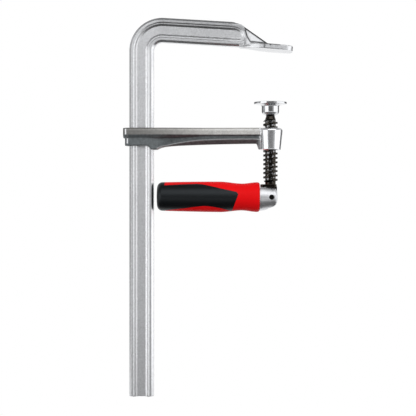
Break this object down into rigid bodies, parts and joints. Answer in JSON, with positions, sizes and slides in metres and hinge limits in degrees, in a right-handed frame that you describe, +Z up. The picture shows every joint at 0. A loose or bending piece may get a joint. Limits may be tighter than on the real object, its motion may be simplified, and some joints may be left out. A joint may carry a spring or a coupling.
{
  "type": "screw clamp",
  "caption": "All-steel screw clamp: a profiled rail bent into a fixed jaw, a sliding arm, a threaded spindle with a swivel pad and a two-material handle that folds across the spindle.",
  "frame": {"origin": "on the fixed jaw's clamping face, where the spindle axis meets it", "axes": "+Z up along the spindle towards the fixed jaw, +X away from the rail, +Y to the clamp's back"},
  "size_m": [0.175, 0.034, 0.389],
  "materials": {
    "plated_steel": "bright plated, satin",
    "forged_steel": "forged, tumbled, plated",
    "blackened_steel": "burnished, oiled",
    "spring_steel": "plain spring steel",
    "satin_steel": "satin plated",
    "red_plastic": "moulded, semi-gloss",
    "soft_black": "fine matt grain"
  },
  "bodies": {
    "rail": {"rail": "plated_steel"},
    "arm": {"sliding_arm": "forged_steel"},
    "screw_feed": {"pad_snap_ring": "spring_steel"},
    "spindle": {"spindle": "blackened_steel"},
    "handle": {"hinge_head": "satin_steel", "hinge_pin": "blackened_steel", "friction_washer_front": "spring_steel", "friction_washer_back": "spring_steel", "handle_core": "red_plastic", "soft_grip": "soft_black"},
    "pad": {"pressure_pad": "plated_steel"}
  },
  "joints": [
    {"name": "arm_slide", "type": "slide", "parent": "rail", "child": "arm", "axis": [0, 0, 1], "range_m": [-0.25, 0.017]},
    {"name": "spindle_feed", "type": "slide", "parent": "arm", "child": "screw_feed", "axis": [0, 0, 1], "range_m": [-0.01126, 0.02926]},
    {"name": "spindle_turn", "type": "hinge", "parent": "screw_feed", "child": "spindle", "pos_m": [0, 0, -0.09], "axis": [0, 0, 1], "range_deg": [-900, 2340]},
    {"name": "handle_fold", "type": "hinge", "parent": "spindle", "child": "handle", "pos_m": [0.0011, 0, -0.1509], "axis": [0, -1, 0], "range_deg": [0, 90]},
    {"name": "pad_tilt", "type": "hinge", "parent": "screw_feed", "child": "pad", "pos_m": [0, 0, -0.0608], "axis": [0, 1, 0], "range_deg": [-8, 8]}
  ],
  "couplings": [
    {"joint": "spindle_feed", "follows": "spindle_turn", "m_per_rad": 0.0007162}
  ]
}
